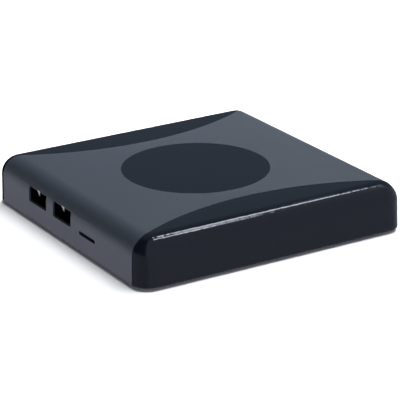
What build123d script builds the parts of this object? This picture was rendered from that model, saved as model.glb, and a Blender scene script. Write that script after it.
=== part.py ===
from build123d import *
import os
from math import radians, sqrt, tan

# A small square media player: a drafted, rounded shell over a bottom cover that carries one circuit board.
# Millimetres. +Z is up, -Y the front, -X the side with the serial sockets and the card slot, +Y the rear.
# The origin is on the table, under the middle of the case.

# Shell
CASE_WIDTH = 110.0
CASE_DEPTH = 110.0
CORNER_RADIUS = 6.6
TOP_RADIUS = 7.2
DRAFT = 1.2  # degrees that the walls lean in
WALL = 2.0
ROOF = 1.8
FOOT_STAND = 1.5  # table to the shell's lower rim
RIM_LEDGE = 0.8  # how far the seat of the cover is cut into the wall
PORT_GAP = 0.3  # between the wall's inner face and the sockets behind it
CUT_CLEAR = 0.3  # round a socket that shows through the wall
CUT_RADIUS = 0.5  # corners of the socket openings
OVERRUN = 4.0  # how far cuts run past a face

# Bottom cover
COVER_THICK = 1.8
COVER_RECESS = 0.2  # cover's underside above the shell's rim
COVER_CLEAR = 0.15
VENT_LENGTH = 24.0
VENT_WIDTH = 2.0
VENT_PITCH = 5.0
VENT_COLUMN_PITCH = 30.0
VENT_ROW_COUNT = 9
VENT_COLUMN_COUNT = 2
COVER_RIM = 1.2  # thickness of the rim that stands inside the shell's walls
COVER_RIM_RISE = 1.4  # rim above the cover's inner face
COVER_RIB = 1.0  # thickness of the ribs round the vents
COVER_RIB_RISE = 0.9
COVER_RIB_GAP = 2.0  # from the vents to the ribs

# Case screws, their bosses in the shell and their cups in the cover
SCREW_INSET = 8.5  # from the case's sides to the screws
BOSS_RADIUS = 3.0
BOSS_RIB = 1.2  # thickness of the ribs from a boss to the walls
BOSS_RIB_SET = 1.0  # ribs above the boss's foot
CUP_RADIUS = 4.0
CUP_RISE = 1.5  # cup above the cover's inner face
CUP_FLOOR = 1.4
SHANK_RADIUS = 1.25
SHANK_CLEAR = 0.05
HEAD_RADIUS = 2.3
HEAD_HEIGHT = 1.4
HEAD_CLEAR = 0.2
HEAD_EDGE = 0.5
RECESS_RADIUS = 0.9  # hexagon recess in a screw's head
RECESS_DEPTH = 0.8
CASE_SCREW_BITE = 6.0  # length in the boss
SCREW_TIP_GAP = 0.6

# Feet
FOOT_RADIUS = 5.0
FOOT_SEAT = 0.5  # depth of the seat in the cover
FOOT_CLEAR = 0.1
FOOT_EDGE = 0.6
FOOT_INSET_X = 20.0
FOOT_INSET_Y = 10.5

# Main board
BOARD_THICK = 1.6
BOARD_GAP = 0.9  # to the shell's walls
BOARD_NOTCH_CLEAR = 0.8  # round the screw bosses
STANDOFF_HEIGHT = 2.3
STANDOFF_RADIUS = 2.8
STANDOFF_HOLE = 3.3  # depth, from the standoff's top
BOARD_SCREW_INSET_X = 11.0  # from the board's edges
BOARD_SCREW_INSET_Y = 17.0
BOARD_SCREW_CLEAR = 0.8  # between a screw's head and the sockets
HEADROOM = 1.0  # over the tallest socket

# Serial sockets in the side wall: one row with the card slot
SIDE_PITCH = 18.75
SIDE_ROW_MIDDLE = 2.0  # Y of the middle socket
SERIAL_WIDTH = 13.1
SERIAL_HEIGHT = 5.7
SERIAL_DEPTH = 14.0
SERIAL_LIFT = 0.8  # shell above the board
SERIAL_SHEET = 0.3
SERIAL_ROUND = 0.6
SERIAL_SET = 0.1  # mouth behind the wall's outer face, at the shell's roof
SERIAL_CLEAR = 0.15  # round the shell in the wall's opening
SERIAL_LEG = 2.2
SERIAL_LEG_SET = 3.6  # middle of the front legs, behind the mouth
TONGUE_BACK = 2.5  # block that closes the shell's rear
TONGUE_WIDTH = 11.1
TONGUE_THICK = 1.9
TONGUE_DROP = 0.7  # under the shell's roof
TONGUE_SET = 4.6  # behind the mouth
SERIAL_PIN_WIDTH = 1.0
SERIAL_PIN_THICK = 0.2
SERIAL_PIN_FRONT = 0.6  # behind the tongue's tip
SERIAL_PIN_INNER = 1.0  # from the middle to the inner pins
SERIAL_PIN_OUTER = 3.5
FINGER_ROOT = 2.0  # width
FINGER_TIP = 0.4  # width
FINGER_DROP = 2.2
FINGER_LEAN = 0.4  # how far the tip stands behind the root

# Card socket with its push-push slider
CARD_WIDTH = 11.3
CARD_ROOM = 1.1  # height that the card slides in
CARD_DEPTH = 14.6
CARD_FLOOR = 0.35
CARD_WALL = 0.6
CARD_SHEET = 0.2
CARD_CUT_CLEAR = 0.13
CARD_CHANNEL = 1.5  # width of the slider's channel
SLIDER_LENGTH = 4.5
SLIDER_CLEAR = 0.05
SLIDER_FINGER = 1.1  # how far the finger reaches into the card's path
SLIDER_FINGER_LENGTH = 0.9
SPRING_RADIUS = 0.36  # to the middle of the wire
SPRING_WIRE = 0.16  # square wire
SPRING_TURN_COUNT = 6
SPRING_GAP = 0.05
CARD_PIN_COUNT = 8
CARD_PIN_PITCH = 1.1
CARD_PIN_WIDTH = 0.6
CARD_PIN_THICK = 0.12
CARD_PIN_LENGTH = 7.0
CARD_PIN_ARCH = 0.5
CARD_PIN_SET = 2.0  # from the rear wall

# Rear sockets, in one row from the power jack to the audio jack
REAR_END_GAP = 9.4  # from the row's ends to the screw bosses

# Video socket
VIDEO_WIDTH = 15.0
VIDEO_HEIGHT = 5.5
VIDEO_DEPTH = 11.5
VIDEO_LIFT = 0.5
VIDEO_SHEET = 0.4
VIDEO_SLOPE_RUN = 1.9  # lower corners of the shell
VIDEO_SLOPE_RISE = 1.7
VIDEO_TONGUE_WIDTH = 11.2
VIDEO_TONGUE_THICK = 1.2
VIDEO_TONGUE_SET = 3.0
VIDEO_TONGUE_BACK = 2.5
VIDEO_PIN_COUNT = 10  # upper row; the lower row has one less
VIDEO_PIN_PITCH = 1.0
VIDEO_PIN_WIDTH = 0.45
VIDEO_PIN_THICK = 0.1
VIDEO_PIN_FRONT = 0.5

# Network socket, sunk into a notch of the board
NETWORK_WIDTH = 16.0
NETWORK_DEPTH = 15.5
NETWORK_RISE = 8.4  # above the board
NETWORK_DROP = 1.6  # below the board
NETWORK_CLEAR = 0.2
NETWORK_ROOF = 1.2
NETWORK_MOUTH_WIDTH = 11.9
NETWORK_MOUTH_HEIGHT = 8.0
NETWORK_MOUTH_DEPTH = 13.0
NETWORK_LATCH_WIDTH = 6.4
NETWORK_LATCH_HEIGHT = 1.5
NETWORK_LATCH_DEPTH = 8.0
NETWORK_EAR_WIDTH = 1.6
NETWORK_EAR_HEIGHT = 2.0
NETWORK_EAR_SET = 2.5
NETWORK_EAR_LENGTH = 8.0
NETWORK_PIN_COUNT = 8
NETWORK_PIN_PITCH = 1.02
NETWORK_PIN_WIDTH = 0.5
NETWORK_PIN_THICK = 0.3
NETWORK_PIN_SET = 1.5
NETWORK_PIN_FLAT = 3.0
NETWORK_PIN_RUN = 6.5
NETWORK_PIN_DROP = 2.6

# Power jack
POWER_WIDTH = 7.0
POWER_HEIGHT = 6.8
POWER_DEPTH = 9.5  # body behind the nose
POWER_NOSE_RADIUS = 3.0
POWER_NOSE_LENGTH = 2.2
POWER_BORE_RADIUS = 2.3
POWER_BORE_DEPTH = 9.0
POWER_PIN_RADIUS = 0.8
POWER_PIN_SET = 0.8  # tip behind the mouth
POWER_TAB_THICK = 0.3
POWER_TAB_WIDTH = 2.4
POWER_TAB_FOOT = 1.2

# Audio jack
AUDIO_WIDTH = 6.2
AUDIO_HEIGHT = 4.9
AUDIO_DEPTH = 11.0  # body behind the nose
AUDIO_AXIS = 2.5  # bore above the board
AUDIO_BORE_RADIUS = 1.8
AUDIO_NOSE_RADIUS = 2.4
AUDIO_NOSE_LENGTH = 1.5
AUDIO_TAB_COUNT = 3
AUDIO_TAB_PITCH = 3.4
AUDIO_TAB_WIDTH = 1.2
AUDIO_TAB_THICK = 0.25
AUDIO_TAB_FOOT = 0.9

# Recovery switch, in line behind the audio jack
SWITCH_GAP = 0.6  # jack to plunger
SWITCH_WIDTH = 6.0
SWITCH_HEIGHT = 4.6
SWITCH_DEPTH = 3.4
PLUNGER_RADIUS = 1.2
PLUNGER_CLEAR = 0.05
PLUNGER_REACH = 1.3  # out of the base
PLUNGER_GUIDE = 1.2  # in the base
PLUNGER_STROKE_ROOM = 0.4  # behind the plunger
PLUNGER_EDGE = 0.2

# Processor and its heat sink
PROCESSOR_SIZE = 17.0
PROCESSOR_HEIGHT = 1.4
PROCESSOR_X = 4.0
PROCESSOR_Y = -2.0
PAD_SIZE = 15.0
PAD_THICK = 0.8
SINK_SIZE = 40.0
SINK_BASE = 1.5
SINK_FIN_COUNT = 11
SINK_FIN_THICK = 1.1
SINK_ROOM = 1.7  # under the roof
SINK_CROSS_CUT = 2.4  # slot across the fins

# Chips and small components, each named size in plan or height
CHIP_CHAMFER = 0.2
CHIP_DIMPLE = 0.5
CHIP_DIMPLE_SET = 1.4
CHIP_DIMPLE_DEPTH = 0.15
CHIP_GAP = 2.5  # between neighbours
MEMORY_LENGTH = 13.0
MEMORY_WIDTH = 8.0
MEMORY_HEIGHT = 1.1
FLASH_LENGTH = 13.0
FLASH_WIDTH = 11.5
FLASH_HEIGHT = 1.0
POWER_CHIP_SIZE = 5.0
POWER_CHIP_HEIGHT = 1.5
TRANSFORMER_LENGTH = 12.7
TRANSFORMER_WIDTH = 7.0
TRANSFORMER_HEIGHT = 4.0
COIL_SIZE = 6.6
COIL_HEIGHT = 3.2
COIL_ROUND = 1.4
COIL_TOP_RADIUS = 2.4
COIL_TOP_STEP = 0.3
CAPACITOR_RADIUS = 3.1
CAPACITOR_HEIGHT = 5.6
CAPACITOR_BASE = 0.8
CAPACITOR_BASE_SIDE = 6.6
CAPACITOR_EDGE = 0.4
CRYSTAL_LENGTH = 10.8
CRYSTAL_WIDTH = 4.4
CRYSTAL_HEIGHT = 3.4
CRYSTAL_FLANGE = 0.4
CRYSTAL_EDGE = 0.4
RADIO_LENGTH = 13.0
RADIO_WIDTH = 12.0
RADIO_BOARD = 0.8
RADIO_MARGIN = 1.0
RADIO_SHIELD = 1.6
RADIO_ROUND = 0.6
ANTENNA_LENGTH = 16.0
ANTENNA_WIDTH = 2.4
ANTENNA_HEIGHT = 5.0
ANTENNA_SHEET = 0.3
ANTENNA_FEED = 3.2  # from the end leg to the feed leg
ANTENNA_FEED_WIDTH = 1.4
RECEIVER_WIDTH = 6.0
RECEIVER_BODY = 2.8  # front to back
RECEIVER_HEIGHT = 6.4
RECEIVER_DOME = 2.2
RECEIVER_X = -6.0
LAMP_WIDTH = 3.2
LAMP_BODY = 1.6
LAMP_HEIGHT = 2.8
LAMP_DOME = 1.0
LAMP_X = 6.0

# Levels and places worked out from the sizes above
LEAN = tan(radians(DRAFT))
RIM_Z = FOOT_STAND
COVER_Z = RIM_Z + COVER_RECESS
COVER_TOP = COVER_Z + COVER_THICK
CUP_TOP = COVER_TOP + CUP_RISE
BOARD_Z = COVER_TOP + STANDOFF_HEIGHT
BOARD_TOP = BOARD_Z + BOARD_THICK
SERIAL_TOP = SERIAL_LIFT + SERIAL_HEIGHT
ROOF_Z = BOARD_TOP + max(NETWORK_RISE, POWER_HEIGHT, SERIAL_TOP) + HEADROOM
TOP_Z = ROOF_Z + ROOF
INNER_RADIUS = TOP_RADIUS - ROOF
REAR_MOUTH = CASE_DEPTH / 2 - WALL - PORT_GAP
SCREW_X = CASE_WIDTH / 2 - SCREW_INSET
SCREW_Y = CASE_DEPTH / 2 - SCREW_INSET
FOOT_X = CASE_WIDTH / 2 - FOOT_INSET_X
FOOT_Y = CASE_DEPTH / 2 - FOOT_INSET_Y
SERIAL_MIDDLE = SERIAL_LIFT + SERIAL_HEIGHT / 2
POWER_AXIS = POWER_HEIGHT / 2
CARD_TOP = CARD_FLOOR + CARD_ROOM
SEAT = (Align.CENTER, Align.CENTER, Align.MIN)


def face_recess(z, top, radius):
    """How far a wall's face at height z stands in from its foot, with its rounding's top and radius."""
    rise = max(0, z - (top - radius))
    return (z - RIM_Z) * LEAN + radius - sqrt(radius**2 - min(rise, radius) ** 2)


def inner_recess(z):
    return face_recess(z, ROOF_Z, INNER_RADIUS)


SERIAL_MOUTH = CASE_WIDTH / 2 - face_recess(BOARD_TOP + SERIAL_TOP, TOP_Z, TOP_RADIUS) - SERIAL_SET
CARD_MOUTH = CASE_WIDTH / 2 - WALL - PORT_GAP - inner_recess(BOARD_TOP + CARD_TOP + CARD_SHEET)
BOARD_HALF_X = CASE_WIDTH / 2 - WALL - BOARD_GAP - inner_recess(BOARD_TOP)
BOARD_HALF_Y = CASE_DEPTH / 2 - WALL - BOARD_GAP - inner_recess(BOARD_TOP)


def span(x, y, z):
    """Box between two planes on each axis, each pair given as (low, high)."""
    pairs = (x, y, z)
    middle = [(low + high) / 2 for low, high in pairs]
    size = [high - low for low, high in pairs]
    return Pos(*middle) * Box(*size)


def either_side(size):
    return (-size / 2, size / 2)


def post(radius, low, high):
    """Upright cylinder on the Z axis."""
    return Pos(0, 0, low) * Cylinder(radius, high - low, align=SEAT)


def rod(radius, low, high, height):
    """Cylinder along Y at the given height."""
    return Pos(0, high, height) * Rot(90, 0, 0) * Cylinder(radius, high - low, align=SEAT)


def corners(x, y):
    """The four places at plus and minus x and y."""
    return [(side * x, end * y) for side in (-1, 1) for end in (-1, 1)]


def at_places(piece, places):
    return [Pos(x, y, 0) * piece for x, y in places]


def at_corners(piece, x, y):
    return at_places(piece, corners(x, y))


def row(count, pitch):
    """Evenly spaced offsets about the middle."""
    return [(index - (count - 1) / 2) * pitch for index in range(count)]


def group(pieces):
    return Compound(children=list(pieces))


# Sockets are drawn with the mouth at Y = 0 facing +Y and the board's top at Z = 0, then set in place
def at_rear(x):
    return Pos(x, REAR_MOUTH, BOARD_TOP)


def at_side(mouth, y):
    return Pos(-mouth, y, BOARD_TOP) * Rot(0, 0, 90)


def rear_places():
    """X of the rear sockets: a row between the rear bosses, with equal gaps edge to edge."""
    widths = [POWER_WIDTH, NETWORK_WIDTH, VIDEO_WIDTH, AUDIO_WIDTH]
    edge = BOSS_RADIUS + REAR_END_GAP - SCREW_X
    gap = (-2 * edge - sum(widths)) / (len(widths) - 1)
    places = []
    for width in widths:
        places.append(edge + width / 2)
        edge += width + gap
    return places


POWER_X, NETWORK_X, VIDEO_X, AUDIO_X = rear_places()
SERIAL_REAR_Y = SIDE_ROW_MIDDLE + SIDE_PITCH
SERIAL_FRONT_Y = SIDE_ROW_MIDDLE
CARD_Y = SIDE_ROW_MIDDLE - SIDE_PITCH


def board_screw_places():
    """Left screws stand clear of both ends of the side row, the rear right one clear of the switch."""
    x = BOARD_HALF_X - BOARD_SCREW_INSET_X
    room = BOARD_SCREW_CLEAR + HEAD_RADIUS
    rear_left = SERIAL_REAR_Y + SERIAL_WIDTH / 2 + room
    front_left = CARD_Y - CARD_WIDTH / 2 - CARD_WALL - CARD_SHEET - room
    rear_right = REAR_MOUTH + SWITCH_FRONT - SWITCH_DEPTH - room
    front_right = BOARD_SCREW_INSET_Y - BOARD_HALF_Y
    return [(-x, rear_left), (-x, front_left), (x, rear_right), (x, front_right)]


# The plunger stands behind the audio jack's bore, the switch's base behind it
PLUNGER_TIP = -AUDIO_NOSE_LENGTH - AUDIO_DEPTH - SWITCH_GAP
SWITCH_FRONT = PLUNGER_TIP - PLUNGER_REACH
BOARD_SCREW_PLACES = board_screw_places()


def tub(inset, height, radius):
    """Drafted tub from the rim up, walls moved in by inset, uprights and upper edges rounded."""
    outline = Rectangle(CASE_WIDTH - 2 * inset, CASE_DEPTH - 2 * inset)
    solid = extrude(Plane.XY.offset(RIM_Z) * outline, height, taper=DRAFT)
    levels = solid.edges().group_by(Axis.Z)
    solid = fillet(levels[1], CORNER_RADIUS - inset)
    return fillet(solid.edges().group_by(Axis.Z)[-1], radius)


def wall_cut(width, low, high, radius):
    """Rounded opening through the wall and the rounding above it."""
    outline = Pos(0, (low + high) / 2) * RectangleRounded(width, high - low, radius)
    return extrude(Plane.XZ * outline, OVERRUN + TOP_RADIUS, both=True)


def serial_cut():
    width = SERIAL_WIDTH + 2 * SERIAL_CLEAR
    return wall_cut(width, SERIAL_LIFT - SERIAL_CLEAR, SERIAL_TOP + SERIAL_CLEAR, SERIAL_ROUND + SERIAL_CLEAR)


def side_cuts():
    card = wall_cut(
        CARD_WIDTH + 2 * CARD_CUT_CLEAR, CARD_FLOOR - CARD_CUT_CLEAR, CARD_TOP + CARD_CUT_CLEAR, CUT_RADIUS
    )
    serial = [at_side(SERIAL_MOUTH, y) * serial_cut() for y in (SERIAL_REAR_Y, SERIAL_FRONT_Y)]
    return serial + [at_side(CARD_MOUTH, CARD_Y) * card]


def rear_cuts():
    reach = OVERRUN + TOP_RADIUS
    network = wall_cut(
        NETWORK_WIDTH + 2 * CUT_CLEAR,
        -BOARD_THICK - NETWORK_DROP - CUT_CLEAR,
        NETWORK_RISE + CUT_CLEAR,
        CUT_RADIUS,
    )
    video = wall_cut(
        VIDEO_WIDTH + 2 * CUT_CLEAR, VIDEO_LIFT - CUT_CLEAR, VIDEO_LIFT + VIDEO_HEIGHT + CUT_CLEAR, CUT_RADIUS
    )
    power = rod(POWER_NOSE_RADIUS + CUT_CLEAR, -reach, reach, POWER_AXIS)
    audio = rod(AUDIO_NOSE_RADIUS + CUT_CLEAR, -reach, reach, AUDIO_AXIS)
    return [
        at_rear(NETWORK_X) * network,
        at_rear(VIDEO_X) * video,
        at_rear(POWER_X) * power,
        at_rear(AUDIO_X) * audio,
    ]


def rim_plan(inset):
    """The case's plan at the rim, moved in by inset."""
    return RectangleRounded(CASE_WIDTH - 2 * inset, CASE_DEPTH - 2 * inset, CORNER_RADIUS - inset)


def boss_ribs():
    """Ribs that tie each boss to the two walls beside it, trimmed inside the wall."""
    level = (CUP_TOP + BOSS_RIB_SET, ROOF_Z + ROOF / 2)
    across = Pos(0, SCREW_Y, 0) * span((SCREW_X, CASE_WIDTH / 2), either_side(BOSS_RIB), level)
    along = Pos(SCREW_X, 0, 0) * span(either_side(BOSS_RIB), (SCREW_Y, CASE_DEPTH / 2), level)
    right = [across, along]
    rear = right + [mirror(rib, about=Plane.YZ) for rib in right]
    ribs = rear + [mirror(rib, about=Plane.XZ) for rib in rear]
    inside = tub(WALL / 2, TOP_Z - ROOF / 2 - RIM_Z, TOP_RADIUS - ROOF / 2)
    return [rib & inside for rib in ribs]


def upper_shell():
    shell = tub(0, TOP_Z - RIM_Z, TOP_RADIUS) - tub(WALL, ROOF_Z - RIM_Z, INNER_RADIUS)
    shell -= extrude(Plane.XY.offset(RIM_Z) * rim_plan(WALL - RIM_LEDGE), COVER_TOP - RIM_Z)
    shell -= side_cuts() + rear_cuts()
    shell += at_corners(post(BOSS_RADIUS, CUP_TOP, ROOF_Z + ROOF / 2), SCREW_X, SCREW_Y)
    shell += boss_ribs()
    pilot = post(SHANK_RADIUS + SHANK_CLEAR, CUP_TOP, CUP_TOP + CASE_SCREW_BITE + SCREW_TIP_GAP)
    return shell - at_corners(pilot, SCREW_X, SCREW_Y)


def vents():
    slot = span(either_side(VENT_LENGTH), either_side(VENT_WIDTH), (0, COVER_TOP))
    columns = row(VENT_COLUMN_COUNT, VENT_COLUMN_PITCH)
    return [Pos(x, y, 0) * slot for x in columns for y in row(VENT_ROW_COUNT, VENT_PITCH)]


def cover_rim():
    """Upright rim just inside the shell's walls, open where the network socket comes down to it."""
    rise = COVER_THICK + COVER_RIM_RISE
    face = WALL + inner_recess(COVER_Z + rise) + COVER_CLEAR
    rim = extrude(Plane.XY.offset(COVER_Z) * (rim_plan(face) - rim_plan(face + COVER_RIM)), rise)
    across = either_side(NETWORK_WIDTH + 2 * NETWORK_CLEAR)
    return rim - Pos(NETWORK_X, 0, 0) * span(across, (0, CASE_DEPTH / 2), (COVER_TOP, COVER_Z + rise))


def cover_ribs():
    """Low ribs round the vents and between their columns."""
    half_x = (VENT_COLUMN_PITCH * (VENT_COLUMN_COUNT - 1) + VENT_LENGTH) / 2 + COVER_RIB_GAP
    half_y = (VENT_PITCH * (VENT_ROW_COUNT - 1) + VENT_WIDTH) / 2 + COVER_RIB_GAP
    level = (COVER_Z, COVER_TOP + COVER_RIB_RISE)
    outer = span(either_side(2 * (half_x + COVER_RIB)), either_side(2 * (half_y + COVER_RIB)), level)
    ribs = outer - span(either_side(2 * half_x), either_side(2 * half_y), level)
    return ribs + span(either_side(COVER_RIB), either_side(2 * half_y), level)


def bottom_cover():
    cover = extrude(Plane.XY.offset(COVER_Z) * rim_plan(WALL - RIM_LEDGE + COVER_CLEAR), COVER_THICK)
    cover -= vents()
    cover += cover_rim()
    cover += cover_ribs()
    cover += at_corners(post(CUP_RADIUS, COVER_Z, CUP_TOP), SCREW_X, SCREW_Y)
    cover += at_places(post(STANDOFF_RADIUS, COVER_Z, BOARD_Z), BOARD_SCREW_PLACES)
    cover -= at_corners(post(HEAD_RADIUS + HEAD_CLEAR, COVER_Z, CUP_TOP - CUP_FLOOR), SCREW_X, SCREW_Y)
    cover -= at_corners(post(SHANK_RADIUS + SHANK_CLEAR, COVER_Z, CUP_TOP), SCREW_X, SCREW_Y)
    hole = post(SHANK_RADIUS + SHANK_CLEAR, BOARD_Z - STANDOFF_HOLE, BOARD_Z)
    cover -= at_places(hole, BOARD_SCREW_PLACES)
    return cover - at_corners(post(FOOT_RADIUS + FOOT_CLEAR, COVER_Z, COVER_Z + FOOT_SEAT), FOOT_X, FOOT_Y)


def foot():
    disc = post(FOOT_RADIUS, 0, COVER_Z + FOOT_SEAT)
    return chamfer(disc.edges().group_by(Axis.Z)[0], FOOT_EDGE)


def screw(length):
    """Pan head screw, head seated at Z = 0 and shank down, with a hexagon recess."""
    head = post(HEAD_RADIUS, 0, HEAD_HEIGHT)
    head = chamfer(head.edges().group_by(Axis.Z)[-1], HEAD_EDGE)
    recess = extrude(Plane.XY.offset(HEAD_HEIGHT - RECESS_DEPTH) * RegularPolygon(RECESS_RADIUS, 6), OVERRUN)
    return head + post(SHANK_RADIUS, -length, 0) - recess


def case_screws():
    upside_down = Rot(180, 0, 0) * screw(CUP_FLOOR + CASE_SCREW_BITE)
    return group(at_corners(Pos(0, 0, CUP_TOP - CUP_FLOOR) * upside_down, SCREW_X, SCREW_Y))


def board_screws():
    length = BOARD_THICK + STANDOFF_HOLE - SCREW_TIP_GAP
    return group(at_places(Pos(0, 0, BOARD_TOP) * screw(length), BOARD_SCREW_PLACES))


def main_board():
    board = span((-BOARD_HALF_X, BOARD_HALF_X), (-BOARD_HALF_Y, BOARD_HALF_Y), (BOARD_Z, BOARD_TOP))
    reach = BOSS_RADIUS + BOARD_NOTCH_CLEAR
    for side, end in corners(1, 1):
        across = sorted((side * (SCREW_X - reach), side * CASE_WIDTH / 2))
        along = sorted((end * (SCREW_Y - reach), end * CASE_DEPTH / 2))
        board -= span(across, along, (BOARD_Z, BOARD_TOP))
    board -= at_places(post(SHANK_RADIUS + SHANK_CLEAR, BOARD_Z, BOARD_TOP), BOARD_SCREW_PLACES)
    socket = span(
        either_side(NETWORK_WIDTH + 2 * NETWORK_CLEAR),
        (-NETWORK_DEPTH - NETWORK_CLEAR, OVERRUN),
        (-BOARD_THICK, 0),
    )
    return board - at_rear(NETWORK_X) * socket


def serial_finger():
    """Spring finger: runs on from the shell's roof and is bent down into the mouth, narrowing to its tip."""
    low = SERIAL_TOP - FINGER_DROP
    front = Polygon(
        (-FINGER_ROOT / 2, SERIAL_TOP),
        (-FINGER_TIP / 2, low),
        (FINGER_TIP / 2, low),
        (FINGER_ROOT / 2, SERIAL_TOP),
        align=None,
    )
    side = Polygon(
        (0, SERIAL_TOP),
        (-SERIAL_SHEET, SERIAL_TOP),
        (-FINGER_LEAN - SERIAL_SHEET, low),
        (-FINGER_LEAN, low),
        align=None,
    )
    strip = extrude(Plane.YZ * side, FINGER_ROOT, both=True)
    return strip & extrude(Plane.XZ * front, FINGER_LEAN + SERIAL_SHEET)


def serial_shell():
    outline = Pos(0, SERIAL_MIDDLE) * RectangleRounded(SERIAL_WIDTH, SERIAL_HEIGHT, SERIAL_ROUND)
    hollow = Pos(0, SERIAL_MIDDLE) * RectangleRounded(
        SERIAL_WIDTH - 2 * SERIAL_SHEET, SERIAL_HEIGHT - 2 * SERIAL_SHEET, SERIAL_ROUND - SERIAL_SHEET
    )
    shell = extrude(Plane.XZ * (outline - hollow), SERIAL_DEPTH)
    shell += serial_finger()
    edge = SERIAL_WIDTH / 2 - SERIAL_ROUND
    leg = span((-SERIAL_SHEET, 0), either_side(SERIAL_LEG), (0, SERIAL_LIFT + SERIAL_SHEET))
    for y in (-SERIAL_LEG_SET, -SERIAL_DEPTH + SERIAL_LEG):
        shell += [Pos(edge, y, 0) * leg, Pos(SERIAL_SHEET - edge, y, 0) * leg]
    return shell


def serial_tongue():
    high = SERIAL_TOP - SERIAL_SHEET
    back = span(
        either_side(SERIAL_WIDTH - 2 * SERIAL_SHEET),
        (-SERIAL_DEPTH, -SERIAL_DEPTH + TONGUE_BACK),
        (SERIAL_LIFT + SERIAL_SHEET, high),
    )
    back = fillet(back.edges().filter_by(Axis.Y), SERIAL_ROUND - SERIAL_SHEET)
    tongue = span(
        either_side(TONGUE_WIDTH),
        (-SERIAL_DEPTH, -TONGUE_SET),
        (high - TONGUE_DROP - TONGUE_THICK, high - TONGUE_DROP),
    )
    return back + tongue


def serial_contacts():
    face = SERIAL_TOP - SERIAL_SHEET - TONGUE_DROP - TONGUE_THICK
    pins = []
    for x in (-SERIAL_PIN_OUTER, -SERIAL_PIN_INNER, SERIAL_PIN_INNER, SERIAL_PIN_OUTER):
        pin = span(
            either_side(SERIAL_PIN_WIDTH),
            (-SERIAL_DEPTH + TONGUE_BACK, -TONGUE_SET - SERIAL_PIN_FRONT),
            (face - SERIAL_PIN_THICK, face),
        )
        pins.append(Pos(x, 0, 0) * pin)
    return group(pins)


# The card's path is in the middle of its frame; the slider's channel is beside it
CARD_SIDE = CARD_WIDTH / 2
CHANNEL_SIDE = CARD_SIDE + CARD_CHANNEL
CHANNEL_MIDDLE = CARD_SIDE + CARD_CHANNEL / 2
CHANNEL_BACK = -CARD_DEPTH + CARD_WALL
SLIDER_FRONT = -CARD_WALL - SLIDER_CLEAR
SLIDER_BACK = SLIDER_FRONT - SLIDER_LENGTH


def card_frame():
    frame = span((-CARD_SIDE - CARD_WALL, CHANNEL_SIDE + CARD_WALL), (-CARD_DEPTH, 0), (0, CARD_TOP))
    frame -= span((-CARD_SIDE, CARD_SIDE), (CHANNEL_BACK, OVERRUN), (CARD_FLOOR, CARD_TOP))
    return frame - span((CARD_SIDE, CHANNEL_SIDE), (CHANNEL_BACK, -CARD_WALL), (CARD_FLOOR, CARD_TOP))


def card_cover():
    low, high = -CARD_SIDE - CARD_WALL, CHANNEL_SIDE + CARD_WALL
    cover = span((low - CARD_SHEET, high + CARD_SHEET), (-CARD_DEPTH, 0), (0, CARD_TOP + CARD_SHEET))
    return cover - span((low, high), (-CARD_DEPTH, 0), (0, CARD_TOP))


def card_contacts():
    """Arched spring strips on the frame's floor."""
    back = CHANNEL_BACK + CARD_PIN_SET
    front = back + CARD_PIN_LENGTH
    crown = CARD_FLOOR + CARD_PIN_ARCH
    middle = (back + front) / 2
    arch = ThreePointArc((back, CARD_FLOOR), (middle, crown), (front, CARD_FLOOR))
    under = make_face([arch, Line((front, CARD_FLOOR), (back, CARD_FLOOR))])
    over = Pos(0, CARD_PIN_THICK) * under
    flat = Pos(middle, CARD_FLOOR + CARD_PIN_THICK / 2) * Rectangle(CARD_PIN_LENGTH, CARD_PIN_THICK)
    strip = extrude(Plane.YZ * (over + flat - under), CARD_PIN_WIDTH / 2, both=True)
    return group(Pos(x, 0, 0) * strip for x in row(CARD_PIN_COUNT, CARD_PIN_PITCH))


def card_slider():
    low, high = CARD_FLOOR + SLIDER_CLEAR, CARD_TOP - SLIDER_CLEAR
    body = span((CARD_SIDE, CHANNEL_SIDE - SLIDER_CLEAR), (SLIDER_BACK, SLIDER_FRONT), (low, high))
    finger = span(
        (CARD_SIDE - SLIDER_FINGER, CARD_SIDE),
        (SLIDER_BACK, SLIDER_BACK + SLIDER_FINGER_LENGTH),
        (low, high),
    )
    return body + finger


def card_spring():
    """Coil spring between the slider and the channel's rear wall."""
    length = SLIDER_BACK - CHANNEL_BACK - 2 * SPRING_GAP - SPRING_WIRE
    path = Helix(length / SPRING_TURN_COUNT, length, SPRING_RADIUS)
    section = Plane(origin=path @ 0, x_dir=(1, 0, 0), z_dir=path % 0) * Rectangle(SPRING_WIRE, SPRING_WIRE)
    wire = sweep(section, path=path, is_frenet=True)
    start = CHANNEL_BACK + SPRING_GAP + SPRING_WIRE / 2
    return Pos(CHANNEL_MIDDLE, start, CARD_FLOOR + CARD_ROOM / 2) * Rot(-90, 0, 0) * wire


def video_outline(inset):
    """The video socket's outline with its two slanted lower corners, moved in by inset."""
    half = VIDEO_WIDTH / 2
    top = VIDEO_LIFT + VIDEO_HEIGHT
    outline = Polygon(
        (-half, top),
        (-half, VIDEO_LIFT + VIDEO_SLOPE_RISE),
        (-half + VIDEO_SLOPE_RUN, VIDEO_LIFT),
        (half - VIDEO_SLOPE_RUN, VIDEO_LIFT),
        (half, VIDEO_LIFT + VIDEO_SLOPE_RISE),
        (half, top),
        align=None,
    )
    return offset(outline, -inset, kind=Kind.INTERSECTION) if inset else outline


def video_shell():
    shell = extrude(Plane.XZ * (video_outline(0) - video_outline(VIDEO_SHEET)), VIDEO_DEPTH)
    across = either_side(VIDEO_WIDTH - 2 * VIDEO_SLOPE_RUN)
    return shell + span(across, (-VIDEO_DEPTH, -VIDEO_DEPTH / 2), (0, VIDEO_LIFT))


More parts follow.
